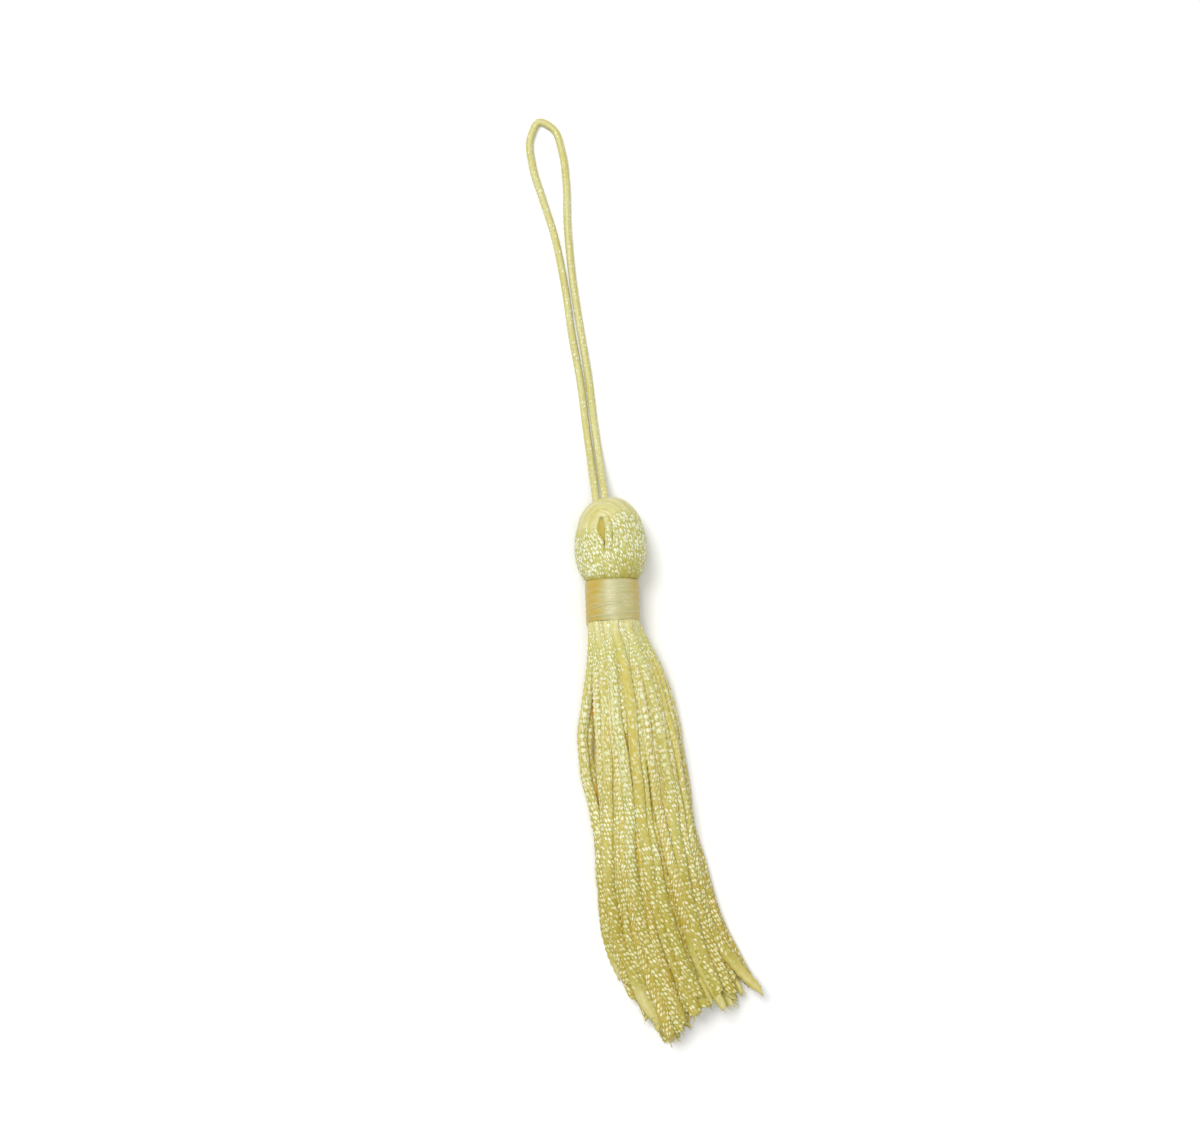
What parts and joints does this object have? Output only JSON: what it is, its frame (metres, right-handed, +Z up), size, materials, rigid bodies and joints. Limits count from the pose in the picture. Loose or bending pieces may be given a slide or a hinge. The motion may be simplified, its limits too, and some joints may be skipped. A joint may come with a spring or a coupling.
{
  "type": "silk tassel",
  "caption": "Silk tassel lying on its back: a head of folded knitted cords with an eye, a neck bound in floss, a skirt of loose strands and a cord loop to hang it by.",
  "frame": {"origin": "middle of the underside of the tassel without its loop, on the surface that it lies on", "axes": "+Y along the tassel from the tips of the strands to the crown and the loop, +Z up from the surface to the face with the eye, +X to the right of that face with the crown up"},
  "size_m": [0.0369, 0.1833, 0.0133],
  "materials": {
    "silk_cords": "knitted silk cord with a bright fleck on each stitch",
    "silk_floss": "smooth satin floss, wound close",
    "silk_loop": "knitted silk cord"
  },
  "bodies": {
    "root": {"cords_and_head": "silk_cords", "neck_binding": "silk_floss", "hanging_loop": "silk_loop"}
  },
  "joints": []
}
